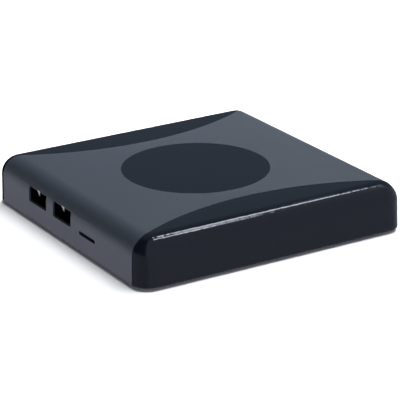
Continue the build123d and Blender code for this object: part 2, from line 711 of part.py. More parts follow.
def video_tongue():
    back = extrude(Plane.XZ * video_outline(VIDEO_SHEET), VIDEO_TONGUE_BACK)
    back = Pos(0, VIDEO_TONGUE_BACK - VIDEO_DEPTH, 0) * back
    middle = VIDEO_LIFT + VIDEO_HEIGHT / 2
    tongue = span(
        either_side(VIDEO_TONGUE_WIDTH),
        (-VIDEO_DEPTH, -VIDEO_TONGUE_SET),
        (middle - VIDEO_TONGUE_THICK / 2, middle + VIDEO_TONGUE_THICK / 2),
    )
    return back + tongue


def video_contacts():
    middle = VIDEO_LIFT + VIDEO_HEIGHT / 2
    upper = middle + VIDEO_TONGUE_THICK / 2
    lower = middle - VIDEO_TONGUE_THICK / 2
    along = (-VIDEO_DEPTH + VIDEO_TONGUE_BACK, -VIDEO_TONGUE_SET - VIDEO_PIN_FRONT)
    over = span(either_side(VIDEO_PIN_WIDTH), along, (upper, upper + VIDEO_PIN_THICK))
    under = span(either_side(VIDEO_PIN_WIDTH), along, (lower - VIDEO_PIN_THICK, lower))
    pins = [Pos(x, 0, 0) * over for x in row(VIDEO_PIN_COUNT, VIDEO_PIN_PITCH)]
    return group(pins + [Pos(x, 0, 0) * under for x in row(VIDEO_PIN_COUNT - 1, VIDEO_PIN_PITCH)])


# Levels of the network socket's mouth above the board
NETWORK_BOTTOM = -BOARD_THICK - NETWORK_DROP
NETWORK_MOUTH_TOP = NETWORK_RISE - NETWORK_ROOF
NETWORK_MOUTH_LOW = NETWORK_MOUTH_TOP - NETWORK_MOUTH_HEIGHT


def network_housing():
    housing = span(either_side(NETWORK_WIDTH), (-NETWORK_DEPTH, 0), (NETWORK_BOTTOM, NETWORK_RISE))
    housing += span(
        either_side(NETWORK_WIDTH + 2 * NETWORK_EAR_WIDTH),
        (-NETWORK_EAR_SET - NETWORK_EAR_LENGTH, -NETWORK_EAR_SET),
        (0, NETWORK_EAR_HEIGHT),
    )
    housing -= span(
        either_side(NETWORK_MOUTH_WIDTH), (-NETWORK_MOUTH_DEPTH, 0), (NETWORK_MOUTH_LOW, NETWORK_MOUTH_TOP)
    )
    return housing - span(
        either_side(NETWORK_LATCH_WIDTH),
        (-NETWORK_LATCH_DEPTH, 0),
        (NETWORK_MOUTH_LOW - NETWORK_LATCH_HEIGHT, NETWORK_MOUTH_LOW),
    )


def network_contacts():
    """Spring wires: flat under the mouth's roof, then slanting down and back."""
    front = -NETWORK_PIN_SET
    bend = front - NETWORK_PIN_FLAT
    end = bend - NETWORK_PIN_RUN
    top = NETWORK_MOUTH_TOP
    side = Polygon(
        (front, top),
        (bend, top),
        (end, top - NETWORK_PIN_DROP),
        (end, top - NETWORK_PIN_DROP - NETWORK_PIN_THICK),
        (bend, top - NETWORK_PIN_THICK),
        (front, top - NETWORK_PIN_THICK),
        align=None,
    )
    wire = extrude(Plane.YZ * side, NETWORK_PIN_WIDTH / 2, both=True)
    return group(Pos(x, 0, 0) * wire for x in row(NETWORK_PIN_COUNT, NETWORK_PIN_PITCH))


def power_jack_body():
    back = -POWER_NOSE_LENGTH - POWER_DEPTH
    body = span(either_side(POWER_WIDTH), (back, -POWER_NOSE_LENGTH), (0, POWER_HEIGHT))
    body += rod(POWER_NOSE_RADIUS, -POWER_NOSE_LENGTH, 0, POWER_AXIS)
    return body - rod(POWER_BORE_RADIUS, -POWER_BORE_DEPTH, 0, POWER_AXIS)


def power_jack_pin():
    pin = rod(POWER_PIN_RADIUS, -POWER_BORE_DEPTH, -POWER_PIN_SET, POWER_AXIS)
    return chamfer(pin.edges().group_by(Axis.Y)[-1], POWER_PIN_RADIUS / 2)


def power_jack_contact():
    """Solder tab behind the body, bent onto the board."""
    face = -POWER_NOSE_LENGTH - POWER_DEPTH
    tab = span(either_side(POWER_TAB_WIDTH), (face - POWER_TAB_THICK, face), (0, POWER_AXIS))
    return tab + span(either_side(POWER_TAB_WIDTH), (face - POWER_TAB_FOOT, face), (0, POWER_TAB_THICK))


def audio_jack_body():
    back = -AUDIO_NOSE_LENGTH - AUDIO_DEPTH
    body = span(either_side(AUDIO_WIDTH), (back, -AUDIO_NOSE_LENGTH), (0, AUDIO_HEIGHT))
    body += rod(AUDIO_NOSE_RADIUS, -AUDIO_NOSE_LENGTH, 0, AUDIO_AXIS)
    return body - rod(AUDIO_BORE_RADIUS, back, 0, AUDIO_AXIS)


def audio_jack_contacts():
    """Solder tabs up both sides of the body, bent out onto the board."""
    face = AUDIO_WIDTH / 2
    along = either_side(AUDIO_TAB_WIDTH)
    tab = span((face, face + AUDIO_TAB_THICK), along, (0, AUDIO_HEIGHT / 2))
    tab += span((face, face + AUDIO_TAB_FOOT), along, (0, AUDIO_TAB_THICK))
    middle = -AUDIO_NOSE_LENGTH - AUDIO_DEPTH / 2
    tabs = [Pos(0, middle + y, 0) * tab for y in row(AUDIO_TAB_COUNT, AUDIO_TAB_PITCH)]
    return group(tabs + [mirror(piece, about=Plane.YZ) for piece in tabs])


def switch_base():
    base = span(either_side(SWITCH_WIDTH), (SWITCH_FRONT - SWITCH_DEPTH, SWITCH_FRONT), (0, SWITCH_HEIGHT))
    well = SWITCH_FRONT - PLUNGER_GUIDE - PLUNGER_STROKE_ROOM
    return base - rod(PLUNGER_RADIUS + PLUNGER_CLEAR, well, SWITCH_FRONT, AUDIO_AXIS)


def switch_plunger():
    plunger = rod(PLUNGER_RADIUS, SWITCH_FRONT - PLUNGER_GUIDE, PLUNGER_TIP, AUDIO_AXIS)
    return chamfer(plunger.edges().group_by(Axis.Y)[-1], PLUNGER_EDGE)


def chip(x, y, height):
    """Moulded chip, seated at Z = 0, with a dimple at its first pin."""
    body = span(either_side(x), either_side(y), (0, height))
    body = chamfer(body.edges().group_by(Axis.Z)[-1], CHIP_CHAMFER)
    mark = Pos(CHIP_DIMPLE_SET - x / 2, CHIP_DIMPLE_SET - y / 2, 0)
    return body - mark * post(CHIP_DIMPLE, height - CHIP_DIMPLE_DEPTH, height)


SINK_Z = BOARD_TOP + PROCESSOR_HEIGHT + PAD_THICK
SINK_TOP = ROOF_Z - SINK_ROOM


def processor():
    return Pos(PROCESSOR_X, PROCESSOR_Y, BOARD_TOP) * chip(PROCESSOR_SIZE, PROCESSOR_SIZE, PROCESSOR_HEIGHT)


def thermal_pad():
    side = either_side(PAD_SIZE)
    return Pos(PROCESSOR_X, PROCESSOR_Y, 0) * span(side, side, (BOARD_TOP + PROCESSOR_HEIGHT, SINK_Z))


def heat_sink():
    """Extruded comb of fins, sawn once across the middle."""
    side = either_side(SINK_SIZE)
    sink = span(side, side, (SINK_Z, SINK_Z + SINK_BASE))
    pitch = (SINK_SIZE - SINK_FIN_THICK) / (SINK_FIN_COUNT - 1)
    fin = span(either_side(SINK_FIN_THICK), side, (SINK_Z, SINK_TOP))
    sink += [Pos(x, 0, 0) * fin for x in row(SINK_FIN_COUNT, pitch)]
    sink -= span(side, either_side(SINK_CROSS_CUT), (SINK_Z + SINK_BASE, SINK_TOP))
    return Pos(PROCESSOR_X, PROCESSOR_Y, 0) * sink


# Columns and rows that the small components stand in
CHIP_COLUMN = PROCESSOR_X + SINK_SIZE / 2 + CHIP_GAP + FLASH_WIDTH / 2
MEMORY_PITCH = MEMORY_LENGTH + CHIP_GAP
SOCKET_BACK = max(SERIAL_DEPTH - SERIAL_MOUTH, CARD_DEPTH - CARD_MOUTH)
SCREW_EDGE = HEAD_RADIUS - max(x for x, y in BOARD_SCREW_PLACES)
LEFT_COLUMN = max(SOCKET_BACK, SCREW_EDGE) + CHIP_GAP + max(COIL_SIZE, CAPACITOR_BASE_SIDE) / 2
POWER_BACK = REAR_MOUTH - POWER_NOSE_LENGTH - POWER_DEPTH - POWER_TAB_FOOT
COIL_Y = POWER_BACK - CHIP_GAP - COIL_SIZE / 2
COIL_PITCH = COIL_SIZE + CHIP_GAP
POWER_CHIP_Y = COIL_Y - COIL_PITCH - COIL_SIZE / 2 - CHIP_GAP - POWER_CHIP_SIZE / 2
CAPACITOR_Y = POWER_CHIP_Y - POWER_CHIP_SIZE / 2 - CHIP_GAP - CAPACITOR_BASE_SIDE / 2
CAPACITOR_PITCH = CAPACITOR_BASE_SIDE + CHIP_GAP
CRYSTAL_Y = CAPACITOR_Y - CAPACITOR_PITCH - CAPACITOR_BASE_SIDE / 2 - CHIP_GAP - CRYSTAL_LENGTH / 2
TRANSFORMER_Y = REAR_MOUTH - NETWORK_DEPTH - CHIP_GAP - TRANSFORMER_WIDTH / 2
RADIO_Y = PROCESSOR_Y - SINK_SIZE / 2 - CHIP_GAP - RADIO_WIDTH / 2
FRONT_WALL = CASE_DEPTH / 2 - WALL - PORT_GAP


def memory_chip(step):
    place = Pos(CHIP_COLUMN, PROCESSOR_Y + MEMORY_PITCH * step, BOARD_TOP)
    return place * chip(MEMORY_WIDTH, MEMORY_LENGTH, MEMORY_HEIGHT)


def flash_chip():
    y = PROCESSOR_Y - MEMORY_LENGTH / 2 - CHIP_GAP - FLASH_LENGTH / 2
    return Pos(CHIP_COLUMN, y, BOARD_TOP) * chip(FLASH_WIDTH, FLASH_LENGTH, FLASH_HEIGHT)


def power_chip():
    body = chip(POWER_CHIP_SIZE, POWER_CHIP_SIZE, POWER_CHIP_HEIGHT)
    return Pos(LEFT_COLUMN, POWER_CHIP_Y, BOARD_TOP) * body


def network_transformer():
    return Pos(NETWORK_X, TRANSFORMER_Y, BOARD_TOP) * chip(
        TRANSFORMER_LENGTH, TRANSFORMER_WIDTH, TRANSFORMER_HEIGHT
    )


def coil(step):
    """Shielded coil: a rounded block with its drum's round top showing."""
    body = extrude(RectangleRounded(COIL_SIZE, COIL_SIZE, COIL_ROUND), COIL_HEIGHT - COIL_TOP_STEP)
    body += post(COIL_TOP_RADIUS, 0, COIL_HEIGHT)
    return Pos(LEFT_COLUMN, COIL_Y - COIL_PITCH * step, BOARD_TOP) * body


def capacitor(step):
    """Aluminium can on its square plastic base."""
    can = post(CAPACITOR_RADIUS, CAPACITOR_BASE, CAPACITOR_HEIGHT)
    can = chamfer(can.edges().group_by(Axis.Z)[-1], CAPACITOR_EDGE)
    side = either_side(CAPACITOR_BASE_SIDE)
    can += span(side, side, (0, CAPACITOR_BASE))
    return Pos(LEFT_COLUMN, CAPACITOR_Y - CAPACITOR_PITCH * step, BOARD_TOP) * can


def crystal():
    """Round-ended can on a thin flange."""
    rim = 2 * CRYSTAL_FLANGE
    can = extrude(SlotOverall(CRYSTAL_LENGTH - rim, CRYSTAL_WIDTH - rim), CRYSTAL_HEIGHT)
    can = chamfer(can.edges().group_by(Axis.Z)[-1], CRYSTAL_EDGE)
    can += extrude(SlotOverall(CRYSTAL_LENGTH, CRYSTAL_WIDTH), CRYSTAL_FLANGE)
    return Pos(LEFT_COLUMN, CRYSTAL_Y, BOARD_TOP) * Rot(0, 0, 90) * can


def radio_board():
    board = span(either_side(RADIO_LENGTH), either_side(RADIO_WIDTH), (0, RADIO_BOARD))
    return Pos(PROCESSOR_X, RADIO_Y, BOARD_TOP) * board


def radio_shield():
    can = span(
        either_side(RADIO_LENGTH - 2 * RADIO_MARGIN),
        either_side(RADIO_WIDTH - 2 * RADIO_MARGIN),
        (RADIO_BOARD, RADIO_BOARD + RADIO_SHIELD),
    )
    can = fillet(can.edges().filter_by(Axis.Z), RADIO_ROUND)
    return Pos(PROCESSOR_X, RADIO_Y, BOARD_TOP) * can


def antenna():
    """Stamped strip beside the radio, on a leg at its end and a narrow feed leg close by."""
    low, high = either_side(ANTENNA_LENGTH)
    strip = span((low, high), either_side(ANTENNA_WIDTH), (ANTENNA_HEIGHT - ANTENNA_SHEET, ANTENNA_HEIGHT))
    strip += span((low, low + ANTENNA_SHEET), either_side(ANTENNA_WIDTH), (0, ANTENNA_HEIGHT))
    feed = low + ANTENNA_FEED
    strip += span((feed, feed + ANTENNA_SHEET), either_side(ANTENNA_FEED_WIDTH), (0, ANTENNA_HEIGHT))
    return Pos(PROCESSOR_X + RADIO_LENGTH / 2 + CHIP_GAP + high, RADIO_Y, BOARD_TOP) * strip


def ir_receiver():
    """Infrared receiver behind the front: a block with a round lens."""
    low = -FRONT_WALL + inner_recess(BOARD_TOP + RECEIVER_HEIGHT)
    face = low + RECEIVER_DOME
    body = span(either_side(RECEIVER_WIDTH), (face, face + RECEIVER_BODY), (0, RECEIVER_HEIGHT))
    lens = Pos(0, face, RECEIVER_HEIGHT / 2) * Sphere(RECEIVER_DOME)
    return Pos(RECEIVER_X, 0, BOARD_TOP) * (body + lens)


def status_lamp():
    """Side-firing lamp behind the front: a block with a small round lens."""
    low = -FRONT_WALL + inner_recess(BOARD_TOP + LAMP_HEIGHT)
    body = span(either_side(LAMP_WIDTH), (low + LAMP_DOME, low + LAMP_DOME + LAMP_BODY), (0, LAMP_HEIGHT))
    lens = Pos(0, low + LAMP_DOME, LAMP_HEIGHT / 2) * Sphere(LAMP_DOME)
    return Pos(LAMP_X, 0, BOARD_TOP) * (body + lens)


def side_sockets():
    nodes = {}
    for name, y in (("rear", SERIAL_REAR_Y), ("front", SERIAL_FRONT_Y)):
        nodes[f"side_socket_{name}_shell"] = at_side(SERIAL_MOUTH, y) * serial_shell()
        nodes[f"side_socket_{name}_tongue"] = at_side(SERIAL_MOUTH, y) * serial_tongue()
        nodes[f"side_socket_{name}_contacts"] = at_side(SERIAL_MOUTH, y) * serial_contacts()
    for piece in (card_frame, card_cover, card_contacts, card_slider, card_spring):
        nodes[piece.__name__] = at_side(CARD_MOUTH, CARD_Y) * piece()
    return nodes


def rear_sockets():
    places = {
        POWER_X: (power_jack_body, power_jack_pin, power_jack_contact),
        NETWORK_X: (network_housing, network_contacts),
        VIDEO_X: (video_shell, video_tongue, video_contacts),
        AUDIO_X: (audio_jack_body, audio_jack_contacts, switch_base, switch_plunger),
    }
    return {piece.__name__: at_rear(x) * piece() for x, pieces in places.items() for piece in pieces}


def feet():
    names = ("foot_front_left", "foot_rear_left", "foot_front_right", "foot_rear_right")
    return dict(zip(names, at_corners(foot(), FOOT_X, FOOT_Y)))


def components():
    nodes = {f"memory_chip_{step + 1}": memory_chip(step) for step in range(2)}
    nodes |= {f"coil_{step + 1}": coil(step) for step in range(2)}
    nodes |= {f"capacitor_{step + 1}": capacitor(step) for step in range(2)}
    singles = (processor, thermal_pad, heat_sink, flash_chip, power_chip, network_transformer, crystal)
    singles += (radio_board, radio_shield, antenna, ir_receiver, status_lamp)
    return nodes | {piece.__name__: piece() for piece in singles}


def case():
    pieces = (upper_shell, bottom_cover, case_screws, main_board, board_screws)
    return {piece.__name__: piece() for piece in pieces}


os.makedirs("parts", exist_ok=True)
for node, shape in (case() | feet() | components() | side_sockets() | rear_sockets()).items():
    export_step(shape, f"parts/{node}.step")
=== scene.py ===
from math import cos, radians, sin, tau

import bmesh
import bpy
from mathutils import Matrix, Vector


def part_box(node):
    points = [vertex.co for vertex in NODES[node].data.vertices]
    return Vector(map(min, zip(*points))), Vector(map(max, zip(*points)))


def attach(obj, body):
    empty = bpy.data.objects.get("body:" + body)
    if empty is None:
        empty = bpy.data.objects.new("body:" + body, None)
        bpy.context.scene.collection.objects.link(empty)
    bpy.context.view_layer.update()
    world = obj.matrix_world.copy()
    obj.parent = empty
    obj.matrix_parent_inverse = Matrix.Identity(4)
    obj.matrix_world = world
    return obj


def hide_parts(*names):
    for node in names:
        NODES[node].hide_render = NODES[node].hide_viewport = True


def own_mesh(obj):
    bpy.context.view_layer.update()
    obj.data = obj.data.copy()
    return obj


# A small square media player on a white studio table: the finish of every piece, the light and the camera.
# Metres, in the frame of the solids: +Z up, -Y the glossy front, -X the side with the serial sockets.

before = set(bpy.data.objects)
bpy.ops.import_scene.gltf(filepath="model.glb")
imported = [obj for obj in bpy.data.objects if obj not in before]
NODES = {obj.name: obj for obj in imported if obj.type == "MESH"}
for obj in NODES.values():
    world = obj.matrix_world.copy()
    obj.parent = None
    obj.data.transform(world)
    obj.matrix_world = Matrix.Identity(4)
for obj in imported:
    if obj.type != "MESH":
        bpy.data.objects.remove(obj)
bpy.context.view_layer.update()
MM = 0.001

# Places of the shell's finishes, from the shell's own box
HALF_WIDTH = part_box("upper_shell")[1].x
HALF_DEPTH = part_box("upper_shell")[1].y
CORNER = 6.6 * MM  # radius of the upright corners, which are glossy all round
DISC_RADIUS = 27.4 * MM
ARC_DEPTH = 20.0 * MM  # glossy arc on the top, measured in from the front and rear faces at its deepest
ARC_END = 5.0 * MM  # where it meets the glossy corner, measured in from the side faces
ARC_BLEND = 3.0 * MM  # over which the arc's edge runs into the glossy face's edge
FINISH_EDGE = 0.12 * MM  # width over which matte turns to gloss

# Texture of the shell's finishes
MATTE_GRAIN = 0.35 * MM
MATTE_HEIGHT = 0.006 * MM
POLISHED_WAVE = 2.5 * MM
POLISHED_HEIGHT = 0.02 * MM
TONE_CLOUD = 25.0 * MM

# Typical of moulded plastic
PLASTIC_IOR = 1.5
# Where most values of a noise texture lie
NOISE_SPREAD = {"From Min": 0.35, "From Max": 0.65}

# The spring finger in each serial socket's mouth
FINGER_DROP = 1.2 * MM  # its middle, below the top of the socket's shell
FINGER_BRIGHT = 1.3 * MM  # rubbed bright up to here from its middle
FINGER_PLATED = 1.6 * MM  # still plated from here on
SHELL_MARKS = 0.4 * MM

# Copper under the boards' solder mask
TRACK_PITCH = 0.8 * MM
TRACK_WIDTH = 0.3 * MM
TRACK_FIELD = 9.0 * MM  # over which the tracks run one way
POURED_SHARE = 0.45  # of the fields
DOT_PITCH = 2.5 * MM
DOT_RADIUS = 0.35 * MM

# The card socket's coil spring, in round wire
SPRING_RADIUS = 0.36 * MM  # to the middle of the wire
SPRING_WIRE = 0.16 * MM
SPRING_WIRE_SIDES = 10
SPRING_CLOSED_RISE = 0.17 * MM  # of the closed turn at each end
SPRING_OPEN_TURNS = 6
SPRING_TURN_STEPS = 24

# The studio
TABLE_HALF = 6.0
TABLE_CLOUD = 60.0 * MM
ROOM_STRENGTH = 5.5

# The photograph's camera
CAMERA_AZIMUTH = radians(-31.15)
CAMERA_ELEVATION = radians(20.66)
CAMERA_ROLL = radians(-0.63)
CAMERA_DISTANCE = 798.8 * MM
CAMERA_TARGET = Vector((7.10, 8.91, 1.5)) * MM
CAMERA_NEAR_LIMIT = 10.0 * MM
FOCAL_LENGTH = 191.8  # for the 36 mm sensor below
SENSOR = 36.0


def linear(code):
    """sRGB hex colour as linear RGBA."""
    shares = [int(code[place : place + 2], 16) / 255 for place in (1, 3, 5)]
    return [s / 12.92 if s <= 0.04045 else ((s + 0.055) / 1.055) ** 2.4 for s in shares] + [1.0]


def add(tree, kind, inputs, **settings):
    """Adds a node with its settings; an input takes a value, a socket, or a node for its first output."""
    made = tree.nodes.new(kind)
    for name, value in settings.items():
        setattr(made, name, value)
    for key, value in inputs.items():
        if isinstance(value, bpy.types.Node):
            value = next(socket for socket in value.outputs if socket.enabled)
        if isinstance(value, bpy.types.NodeSocket):
            tree.links.new(value, made.inputs[key])
        else:
            made.inputs[key].default_value = value
    return made


def new_finish(name):
    """An empty material, its node tree and its Object coordinates."""
    finish = bpy.data.materials.new(name)
    finish.use_nodes = True
    tree = finish.node_tree
    tree.nodes.clear()
    return finish, tree, add(tree, "ShaderNodeTexCoord", {}).outputs["Object"]


def moulded(name, dark, light, roughness, grain, depth):
    """Moulded plastic or rubber: two close tones in its grain, which also dulls the surface and lifts it."""
    finish, tree, place = new_finish(name)
    noise = add(tree, "ShaderNodeTexNoise", {"Vector": place, "Scale": 1 / grain, "Detail": 2.0})
    inputs = {"Factor": noise, "A": linear(dark), "B": linear(light)}
    tone = add(tree, "ShaderNodeMix", inputs, data_type="RGBA")
    inputs = {"Value": noise, **NOISE_SPREAD, "To Min": roughness[0], "To Max": roughness[1]}
    rough = add(tree, "ShaderNodeMapRange", inputs)
    bump = add(tree, "ShaderNodeBump", {"Height": noise, "Distance": depth})
    inputs = {"Base Color": tone, "Roughness": rough, "Normal": bump, "IOR": PLASTIC_IOR}
    add(tree, "ShaderNodeOutputMaterial", {"Surface": add(tree, "ShaderNodeBsdfPrincipled", inputs)})
    return finish


def metal(name, dark, light, roughness, grain, stretch):
    """Bare or plated metal: fine marks drawn out along the given stretch, in tone and in roughness."""
    finish, tree, place = new_finish(name)
    drawn = add(tree, "ShaderNodeMapping", {"Vector": place, "Scale": stretch})
    noise = add(tree, "ShaderNodeTexNoise", {"Vector": drawn, "Scale": 1 / grain, "Detail": 4.0})
    inputs = {"Factor": noise, "A": linear(dark), "B": linear(light)}
    tone = add(tree, "ShaderNodeMix", inputs, data_type="RGBA")
    inputs = {"Value": noise, **NOISE_SPREAD, "To Min": roughness[0], "To Max": roughness[1]}
    rough = add(tree, "ShaderNodeMapRange", inputs)
    inputs = {"Base Color": tone, "Roughness": rough, "Metallic": 1.0}
    add(tree, "ShaderNodeOutputMaterial", {"Surface": add(tree, "ShaderNodeBsdfPrincipled", inputs)})
    return finish


def polished_zones(tree, place):
    """1 where the shell is polished: the disc, an arc along the front and the rear, and those two faces."""
    rise = ARC_DEPTH - CORNER
    half = HALF_WIDTH - ARC_END
    radius = (half**2 + rise**2) / (2 * rise)
    centre = (0, HALF_DEPTH - ARC_DEPTH + radius, 0)
    mirrored = add(tree, "ShaderNodeVectorMath", {0: place}, operation="ABSOLUTE")
    plan = add(tree, "ShaderNodeVectorMath", {0: mirrored, 1: (1, 1, 0)}, operation="MULTIPLY")
    reach = add(tree, "ShaderNodeVectorMath", {0: plan}, operation="LENGTH")
    disc = add(tree, "ShaderNodeMath", {0: reach, 1: DISC_RADIUS}, operation="SUBTRACT")
    swing = add(tree, "ShaderNodeVectorMath", {0: plan, 1: centre}, operation="DISTANCE")
    arc = add(tree, "ShaderNodeMath", {0: swing, 1: radius}, operation="SUBTRACT")
    along = add(tree, "ShaderNodeSeparateXYZ", {0: plan}).outputs["Y"]
    face = add(tree, "ShaderNodeMath", {0: HALF_DEPTH - CORNER, 1: along}, operation="SUBTRACT")
    edges = add(tree, "ShaderNodeMath", {0: arc, 1: face, 2: ARC_BLEND}, operation="SMOOTH_MIN")
    nearest = add(tree, "ShaderNodeMath", {0: edges, 1: disc}, operation="MINIMUM")
    inputs = {"Value": nearest, "From Min": FINISH_EDGE / 2, "From Max": -FINISH_EDGE / 2}
    return add(tree, "ShaderNodeMapRange", inputs)


def shell_finish():
    # Blue-black ABS in one mould: spark-eroded where it is matte, which scatters light to an even slate grey,
    # and polished where it is glossy, which keeps it near black and gives sharp reflections, a little wavy from
    # shrinkage. The real matte grain is about 0.1 mm; it is drawn coarser so that it shows.
    finish, tree, place = new_finish("spark_eroded_and_polished_abs")
    polished = polished_zones(tree, place)
    grain = add(tree, "ShaderNodeTexNoise", {"Vector": place, "Scale": 1 / MATTE_GRAIN, "Detail": 2.0})
    cloud = add(tree, "ShaderNodeTexNoise", {"Vector": place, "Scale": 1 / TONE_CLOUD, "Detail": 2.0})
    wave = add(tree, "ShaderNodeTexNoise", {"Vector": place, "Scale": 1 / POLISHED_WAVE, "Detail": 1.0})
    inputs = {"Factor": cloud, "A": linear("#2D3239"), "B": linear("#31363D")}
    matte_tone = add(tree, "ShaderNodeMix", inputs, data_type="RGBA")
    inputs = {"Factor": cloud, "A": linear("#080B11"), "B": linear("#0A0E15")}
    polished_tone = add(tree, "ShaderNodeMix", inputs, data_type="RGBA")
    inputs = {"Factor": polished, "A": matte_tone, "B": polished_tone}
    tone = add(tree, "ShaderNodeMix", inputs, data_type="RGBA")
    inputs = {"Value": grain, **NOISE_SPREAD, "To Min": 0.47, "To Max": 0.55}
    matte_rough = add(tree, "ShaderNodeMapRange", inputs)
    inputs = {"Value": cloud, **NOISE_SPREAD, "To Min": 0.05, "To Max": 0.08}
    polished_rough = add(tree, "ShaderNodeMapRange", inputs)
    inputs = {"Factor": polished, "A": matte_rough, "B": polished_rough}
    rough = add(tree, "ShaderNodeMix", inputs, data_type="FLOAT")
    inputs = {"Value": grain, "To Min": -MATTE_HEIGHT, "To Max": MATTE_HEIGHT}
    matte_height = add(tree, "ShaderNodeMapRange", inputs)
    inputs = {"Value": wave, "To Min": -POLISHED_HEIGHT, "To Max": POLISHED_HEIGHT}
    polished_height = add(tree, "ShaderNodeMapRange", inputs)
    inputs = {"Factor": polished, "A": matte_height, "B": polished_height}
    height = add(tree, "ShaderNodeMix", inputs, data_type="FLOAT")
    bump = add(tree, "ShaderNodeBump", {"Height": height, "Distance": 1.0})
    inputs = {"Base Color": tone, "Roughness": rough, "Normal": bump, "IOR": PLASTIC_IOR}
    add(tree, "ShaderNodeOutputMaterial", {"Surface": add(tree, "ShaderNodeBsdfPrincipled", inputs)})
    return finish


def socket_shell_finish(nodes):
    # Steel sheet plated with black nickel: near black, satin. Plugs have rubbed the spring finger in each mouth
    # bright.
    finish, tree, place = new_finish("black_nickel_plated_steel")
    low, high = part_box(nodes[0])
    near = []
    for name in nodes:
        finger = (low.x, (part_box(name)[0].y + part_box(name)[1].y) / 2, high.z - FINGER_DROP)
        near.append(add(tree, "ShaderNodeVectorMath", {0: place, 1: finger}, operation="DISTANCE"))
    nearest = add(tree, "ShaderNodeMath", {0: near[0], 1: near[1]}, operation="MINIMUM")
    inputs = {"Value": nearest, "From Min": FINGER_PLATED, "From Max": FINGER_BRIGHT}
    rubbed = add(tree, "ShaderNodeMapRange", inputs)
    marks = add(tree, "ShaderNodeTexNoise", {"Vector": place, "Scale": 1 / SHELL_MARKS, "Detail": 4.0})
    inputs = {"Factor": marks, "A": linear("#141416"), "B": linear("#1E1E21")}
    plating = add(tree, "ShaderNodeMix", inputs, data_type="RGBA")
    inputs = {"Factor": rubbed, "A": plating, "B": linear("#8E8E8C")}
    tone = add(tree, "ShaderNodeMix", inputs, data_type="RGBA")
    inputs = {"Value": marks, **NOISE_SPREAD, "To Min": 0.3, "To Max": 0.42}
    rough = add(tree, "ShaderNodeMapRange", inputs)
    inputs = {"Base Color": tone, "Roughness": rough, "Metallic": 1.0}
    add(tree, "ShaderNodeOutputMaterial", {"Surface": add(tree, "ShaderNodeBsdfPrincipled", inputs)})
    return finish


def board_finish():
    # Glass laminate under green solder mask: runs of copper tracks, and fields of poured copper between them,
    # show through as a lighter green, and tinned dots as bright metal, under an even satin coat.
    finish, tree, place = new_finish("solder_masked_laminate")
    axes = add(tree, "ShaderNodeSeparateXYZ", {0: place})
    inputs = {"Vector": place, "Scale": 1 / TRACK_FIELD, "Randomness": 0.8}
    fields = add(tree, "ShaderNodeTexVoronoi", inputs, distance="CHEBYCHEV").outputs["Color"]
    chance = add(tree, "ShaderNodeSeparateColor", {0: fields})
    turned = add(tree, "ShaderNodeMath", {0: chance.outputs["Red"], 1: 0.5}, operation="GREATER_THAN")
    inputs = {"Factor": turned, "A": axes.outputs["X"], "B": axes.outputs["Y"]}
    across = add(tree, "ShaderNodeMix", inputs, data_type="FLOAT")
    swing = add(tree, "ShaderNodeMath", {0: across, 1: TRACK_PITCH / 2}, operation="PINGPONG")
    track = add(tree, "ShaderNodeMath", {0: swing, 1: TRACK_WIDTH / 2}, operation="LESS_THAN")
    inputs = {0: chance.outputs["Green"], 1: 1 - POURED_SHARE}
    poured = add(tree, "ShaderNodeMath", inputs, operation="GREATER_THAN")
    copper = add(tree, "ShaderNodeMath", {0: track, 1: poured}, operation="MAXIMUM")
    dots = add(tree, "ShaderNodeTexVoronoi", {"Vector": place, "Scale": 1 / DOT_PITCH, "Randomness": 0.6})
    tinned = add(tree, "ShaderNodeMath", {0: dots, 1: DOT_RADIUS / DOT_PITCH}, operation="LESS_THAN")
    inputs = {"Factor": copper, "A": linear("#0C3A22"), "B": linear("#155534")}
    mask = add(tree, "ShaderNodeMix", inputs, data_type="RGBA")
    inputs = {"Factor": tinned, "A": mask, "B": linear("#B9B8B0")}
    tone = add(tree, "ShaderNodeMix", inputs, data_type="RGBA")
    inputs = {"Base Color": tone, "Metallic": tinned, "Roughness": 0.35}
    add(tree, "ShaderNodeOutputMaterial", {"Surface": add(tree, "ShaderNodeBsdfPrincipled", inputs)})
    return finish


